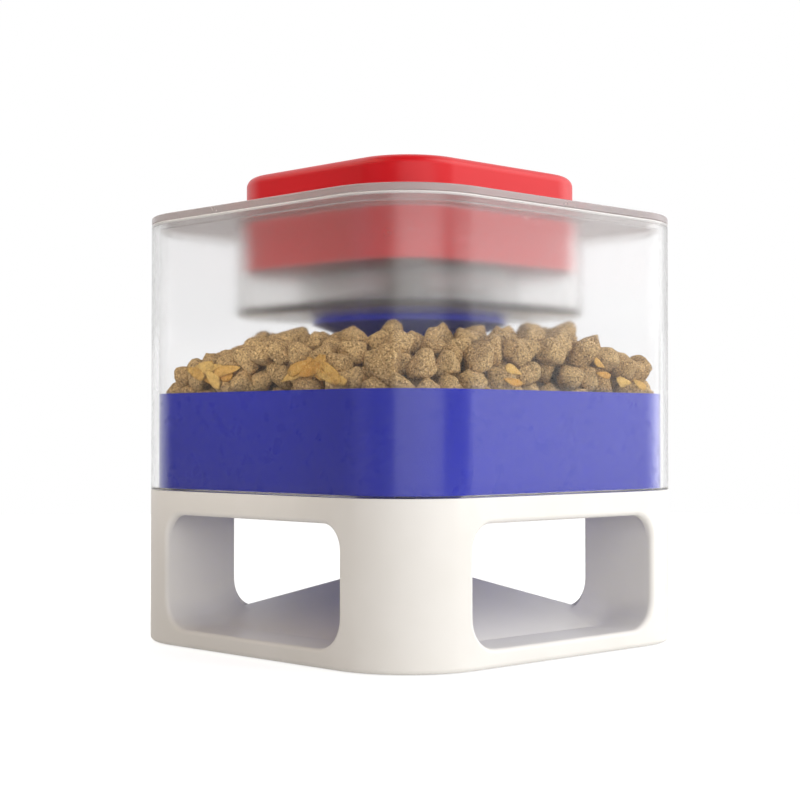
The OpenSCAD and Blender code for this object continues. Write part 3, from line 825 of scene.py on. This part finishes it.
def grain_shape(sphere, seed):
    """A rounded chunk: the unit sphere's points pulled in to a few soft random planes."""
    softness, blunt = 24, 1.3
    r = np.random.default_rng(seed)
    count = r.integers(6, 10)
    normals = r.normal(size=(count, 3))
    normals /= np.linalg.norm(normals, axis=1)[:, None]
    for _ in range(30):  # spread the planes
        gap = normals[:, None] - normals[None]
        d = (gap ** 2).sum(2) + np.eye(count)
        normals += (gap / d[:, :, None] ** 1.5).sum(1) * 0.05
        normals /= np.linalg.norm(normals, axis=1)[:, None]
    reach = r.uniform(0.68, 1.04, count)
    dots = np.clip(sphere @ normals.T, 0, None) / reach
    radius = np.minimum((dots ** softness).sum(1) ** (-1 / softness), blunt)
    wave = np.zeros(len(sphere))
    for k in range(6):
        w = r.normal(size=3) * (2.0 + 1.4 * k)
        wave += np.sin(sphere @ w + r.uniform(0, 6)) * 0.028 / (1 + 0.4 * k)
    shape = sphere * (radius * (1 + wave))[:, None]
    shape *= r.uniform(0.74, 1.2, 3)
    return shape / np.abs(shape).max(0).mean()


def sphere_points(level):
    """Points and triangles of a unit sphere."""
    bm = bmesh.new()
    bmesh.ops.create_icosphere(bm, subdivisions=level, radius=1.0)
    points = np.array([v.co[:] for v in bm.verts])
    faces = np.array([[v.index for v in f.verts] for f in bm.faces])
    bm.free()
    return points, faces


def random_turn(r):
    """A random rotation matrix."""
    q = r.normal(size=4)
    w, x, y, z = q / np.linalg.norm(q)
    return np.array([[1 - 2 * (y * y + z * z), 2 * (x * y - z * w), 2 * (x * z + y * w)],
                     [2 * (x * y + z * w), 1 - 2 * (x * x + z * z), 2 * (y * z - x * w)],
                     [2 * (x * z - y * w), 2 * (y * z + x * w), 1 - 2 * (x * x + y * y)]])


def scatter(name, pieces, nodes, material):
    """One mesh in the housing from many chunks: (points, faces, tone) each."""
    verts, faces, tones, base = [], [], [], 0
    for points, tris, tone in pieces:
        verts.append(points)
        faces.append(tris + base)
        tones += [tone] * len(points)
        base += len(points)
    mesh = bpy.data.meshes.new(name)
    mesh.from_pydata((np.concatenate(verts) * MM).tolist(), [], np.concatenate(faces).tolist())
    mesh.attributes.new("tone", "FLOAT", "POINT").data.foreach_set("value", tones)
    mesh.polygons.foreach_set("use_smooth", [True] * len(mesh.polygons))
    mesh.materials.append(material)
    obj = bpy.data.objects.new(name, mesh)
    scene.collection.objects.link(obj)
    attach(obj, "housing")
    if nodes:
        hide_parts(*nodes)


# clusters of flakes against the wall: the wall they lie on, place along it, height, how many;
# more than FEW is a big cluster of full-size flakes
CLUSTERS = [("front", -27.0, 110.5, 9), ("front", 34.0, 109.5, 9), ("right", -34.0, 106.6, 2),
            ("right", 42.5, 106.0, 3), ("right", 21.5, 112.0, 2), ("back", 12.0, 110.0, 6),
            ("left", -20.0, 110.5, 6)]
FEW = 5


def tucked(points, gap):
    """Points pulled in to stay the given gap from the hopper's inner face, and clear of the tray."""
    x, y, z = points.T
    inside_tray = INNER - TRAY_HALF + TRAY_WALL + 0.3  # gap that keeps clear of the tray's wall
    gap = np.maximum(gap, np.interp(z, [TRAY_RIM + 0.3, TRAY_RIM + 1.6], [inside_tray, 0.0]))
    core = INNER - INNER_R
    ox, oy = np.maximum(np.abs(x) - core, 0), np.maximum(np.abs(y) - core, 0)
    far = np.hypot(ox, oy)
    scale = np.minimum(1.0, (INNER_R - gap) / np.maximum(far, 1e-6))
    x = np.where(ox > 0, np.sign(x) * (core + ox * scale), x)
    y = np.where(oy > 0, np.sign(y) * (core + oy * scale), y)
    return np.stack([x, y, z], 1)


def room_for_flakes(points):
    """How far a grain's points must stay from the wall so that the flakes lie in front of them."""
    x, y, z = points.T
    room = np.zeros(len(points))
    for wall, along, height, count in CLUSTERS:
        u = {"front": x, "right": y, "back": -x, "left": -y}[wall]
        depth = {"front": -y, "right": x, "back": y, "left": -x}[wall]
        width = 13.0 if count > FEW else 7.5
        near = np.exp(-((u - along) / width) ** 4 - ((z - height) / 7.0) ** 4)
        room = np.maximum(room, np.where(depth > INNER - 12, 1.4 * near, 0.0))
    return room


def under_plunger(shape):
    """The grain, let down until the pressed plunger head clears it."""
    r = np.hypot(shape[:, 0], shape[:, 1])
    above = np.where(r < PRESSED[2, 0] + 0.4, shape[:, 2] - pressed_z(r) + 0.4, 0.0).max()
    return shape - np.array([0, 0, max(0.0, above)])


centres, sizes, layers = grain_centres()
# a few more grains at the front wall, where the flakes would leave a dark pit
FILLERS = ((-12.0, 107.0), (-20.0, 103.5), (44.0, 104.0), (27.0, 103.5))
fillers = [(along, 6.5 - INNER, height) for along, height in FILLERS]
centres = np.vstack([centres, fillers])
sizes = np.append(sizes, [5.2] * len(fillers))
layers = np.append(layers, [0] * len(fillers))
fine, fine_faces = sphere_points(3)
coarse, coarse_faces = sphere_points(2)
fine_shapes = [grain_shape(fine, 100 + i) for i in range(GRAIN_SHAPES)]
coarse_shapes = [grain_shape(coarse, 100 + i) for i in range(GRAIN_SHAPES)]
top_pieces, deep_pieces = [], []
for c, s, layer in zip(centres, sizes, layers):
    which = int(rng.integers(0, GRAIN_SHAPES))
    turn = random_turn(rng)
    shape = (fine_shapes if layer == 0 else coarse_shapes)[which] @ turn.T * s * 1.06 + c
    shape = under_plunger(tucked(shape, room_for_flakes(shape) + rng.uniform(0.35, 0.9)))
    tone = float(np.clip(rng.normal(0.5, 0.22), 0, 1))
    if layer == 0:
        top_pieces.append((shape, fine_faces, tone))
    else:
        deep_pieces.append((shape, coarse_faces, tone))
scatter("kibble_top", top_pieces, ["kibble_fill"], KIBBLE)
scatter("kibble_deep", deep_pieces, [], KIBBLE)


def flake_shape(sphere, size):
    """A crumpled petal, 13 mm long at size 1 and about 0.6 mm thick, with a pointed end."""
    x, y, z = sphere.T
    width = 2.5 * size * (1 - 0.6 * x) * rng.uniform(0.75, 1.15)
    length = 7.2 * size * rng.uniform(0.75, 1.15)
    bend = rng.uniform(-0.5, 0.5) * x ** 2 + 0.22 * np.sin(5 * y + rng.uniform(0, 6)) * np.abs(x)
    ragged = 1 + 0.08 * np.sin(7 * np.arctan2(y, x) + rng.uniform(0, 6))
    return np.stack([x * length * ragged, y * width * ragged, 0.3 * z + bend * 0.5], 1)


def place_on_wall(wall, u, v, w):
    """Points from a wall's own frame: u along it, v up and w beyond its inner face."""
    depth = INNER + w
    x, y = {"front": (u, -depth), "right": (depth, u), "back": (-u, depth), "left": (-depth, -u)}[wall]
    return np.stack([x, y, v], 1)


flakes = []
for wall, along, height, count in CLUSTERS:
    for k in range(count):
        petal = flake_shape(coarse, 1.0 if count > FEW else 0.6)
        a = rng.uniform(-0.75, 0.45) + (math.pi if rng.random() < 0.5 else 0.0)
        tilt = rng.uniform(-0.1, 0.1)
        u = petal[:, 0] * math.cos(a) - petal[:, 1] * math.sin(a)
        v = petal[:, 0] * math.sin(a) + petal[:, 1] * math.cos(a)
        w = petal[:, 2] + u * tilt
        spread = 7.0 if count > FEW else 2.8
        u = u + along + float(np.clip(rng.normal() * spread, -10, 10))
        v = v + height + float(np.clip(rng.normal() * 2.2, -4, 4))
        v += max(0.0, TRAY_RIM + 1.0 - v.min())
        # the wall curves away near the corners, so the flake moves in as a whole
        over = np.maximum(np.abs(u) - (INNER - INNER_R), 0.0)
        bulge = INNER_R - np.sqrt(INNER_R ** 2 - over ** 2)
        w = w - (w + bulge).max() - 0.35 - 0.13 * k
        flakes.append((place_on_wall(wall, u, v, w), coarse_faces, float(rng.uniform(0, 1))))
scatter("kibble_flakes", flakes, [], FLAKE)

# ---------------------------------------------------------------- stage, light and camera


def stage_floor():
    """A round pale table. It looks a little brighter than it lights."""
    bm = bmesh.new()
    bmesh.ops.create_circle(bm, cap_ends=True, segments=96, radius=1.1)
    mesh = bpy.data.meshes.new("floor")
    bm.to_mesh(mesh)
    bm.free()
    n = Nodes("floor paint")
    n.bsdf.inputs["Base Color"].default_value = (0.6, 0.6, 0.6, 1)
    n.bsdf.inputs["Roughness"].default_value = 0.95
    n.bsdf.inputs["Specular IOR Level"].default_value = 0.0
    n.bsdf.inputs["Emission Color"].default_value = (1, 1, 1, 1)
    path = n.add("LightPath")
    n.link(n.mapped(path.outputs["Is Camera Ray"], 0, 1, 0.15, 0.72), n.bsdf.inputs["Emission Strength"])
    mesh.materials.append(n.mat)
    floor = bpy.data.objects.new("floor", mesh)
    scene.collection.objects.link(floor)


VIEW_ANGLE = 45  # the camera's side of the feeder; the lamps' angles count from it, to the right


def panel(name, angles, distance, low, high, radiance, colour=(1, 1, 1)):
    """A soft panel between two angles and two heights, at a distance from the middle."""
    middle = math.radians(VIEW_ANGLE + sum(angles) / 2)
    light = bpy.data.lights.new(name, "AREA")
    light.shape = "RECTANGLE"
    light.size = 2 * distance * math.tan(math.radians((angles[1] - angles[0]) / 2))
    light.size_y = high - low
    light.energy = radiance * math.pi * light.size * light.size_y
    light.color = colour
    obj = bpy.data.objects.new(name, light)
    scene.collection.objects.link(obj)
    obj.location = (distance * math.sin(middle), -distance * math.cos(middle), (low + high) / 2)
    aim = Vector((0, 0, obj.location.z if low < 0.3 else 0.1)) - obj.location
    obj.rotation_mode = "QUATERNION"
    obj.rotation_quaternion = aim.to_track_quat("-Z", "Y")
    obj.visible_camera = False
    return obj


def kibble_spot():
    """A soft spot on the kibble from the left, so that it isn't lost in the shade of the lid."""
    light = bpy.data.lights.new("kibble spot", "SPOT")
    light.energy = 30.0
    light.spot_size = math.radians(7.4)
    light.spot_blend = 0.8
    light.shadow_soft_size = 0.06
    light.color = (1.0, 0.95, 0.86)
    obj = bpy.data.objects.new("kibble spot", light)
    scene.collection.objects.link(obj)
    turn = math.radians(VIEW_ANGLE - 34)
    obj.location = (math.sin(turn), -math.cos(turn), 0.26)
    obj.rotation_mode = "QUATERNION"
    obj.rotation_quaternion = (Vector((-0.02, -0.06, 0.129)) - obj.location).to_track_quat("-Z", "Y")
    obj.visible_glossy = False
    obj.visible_transmission = False


def world_light():
    """A white backdrop behind the feeder and a dim warm room round the camera."""
    world = bpy.data.worlds.new("studio")
    scene.world = world
    world.use_nodes = True
    tree = world.node_tree
    back = tree.nodes["Background"]
    coords = tree.nodes.new("ShaderNodeTexCoord").outputs["Generated"]
    along = tree.nodes.new("ShaderNodeVectorMath")
    along.operation = "DOT_PRODUCT"
    along.inputs[1].default_value = (-math.sin(math.pi / 4), math.cos(math.pi / 4), 0)
    tree.links.new(coords, along.inputs[0])
    ramp = tree.nodes.new("ShaderNodeMapRange")
    ramp.interpolation_type = "SMOOTHSTEP"
    for i, v in zip((1, 2, 3, 4), (0.16, 0.42, 0.0, 1.0)):
        ramp.inputs[i].default_value = v
    tree.links.new(along.outputs["Value"], ramp.inputs[0])
    path = tree.nodes.new("ShaderNodeLightPath")
    pick = tree.nodes.new("ShaderNodeMath")
    pick.operation = "MAXIMUM"
    tree.links.new(path.outputs["Is Camera Ray"], pick.inputs[0])
    tree.links.new(ramp.outputs[0], pick.inputs[1])
    mix = tree.nodes.new("ShaderNodeMix")
    mix.data_type = "RGBA"
    tree.links.new(pick.outputs[0], mix.inputs[0])
    mix.inputs[6].default_value = (0.10, 0.085, 0.07, 1)
    mix.inputs[7].default_value = (1.0, 1.0, 1.0, 1)
    tree.links.new(mix.outputs[2], back.inputs["Color"])
    back.inputs["Strength"].default_value = 1.0


stage_floor()
world_light()
panel("right", (82, 128), 1.5, 0.0, 1.6, 1.5)
panel("front", (-14, 44), 1.5, 0.0, 1.3, 1.3)
panel("left violet", (-66, -44), 1.5, 0.0, 0.7, 0.3, (0.8, 0.72, 1.0))
panel("high right", (55, 95), 1.2, 0.9, 1.9, 2.7, (1.0, 0.995, 0.98))
panel("high left", (-110, -50), 1.3, 0.9, 1.9, 1.3, (1.0, 0.82, 0.62))
fill = panel("fill right", (30, 75), 1.4, 0.05, 0.8, 2.5)
fill.visible_glossy = False
fill.visible_transmission = False
kibble_spot()

camera_data = bpy.data.cameras.new("camera")
camera_data.lens = 74.9
camera_data.sensor_width = 36.0
camera_data.shift_x = -0.0118
camera_data.clip_start = 0.01
camera_data.clip_end = 50
camera = bpy.data.objects.new("camera", camera_data)
scene.collection.objects.link(camera)
scene.camera = camera
reach, eye_z, pitch = 0.699, 0.087, math.radians(1.085)
yaw = math.radians(45.7)
camera.location = (reach * math.sin(yaw), -reach * math.cos(yaw), eye_z)
camera.rotation_mode = "XYZ"
camera.rotation_euler = (math.pi / 2 + pitch, 0, yaw)

scene.view_settings.view_transform = "Standard"
scene.view_settings.look = "None"
scene.view_settings.exposure = 0.0
scene.cycles.max_bounces = 16
scene.cycles.transmission_bounces = 12
scene.cycles.diffuse_bounces = 5
scene.cycles.glossy_bounces = 5
scene.cycles.transparent_max_bounces = 12
scene.cycles.caustics_reflective = False
scene.cycles.caustics_refractive = True
scene.cycles.use_denoising = True
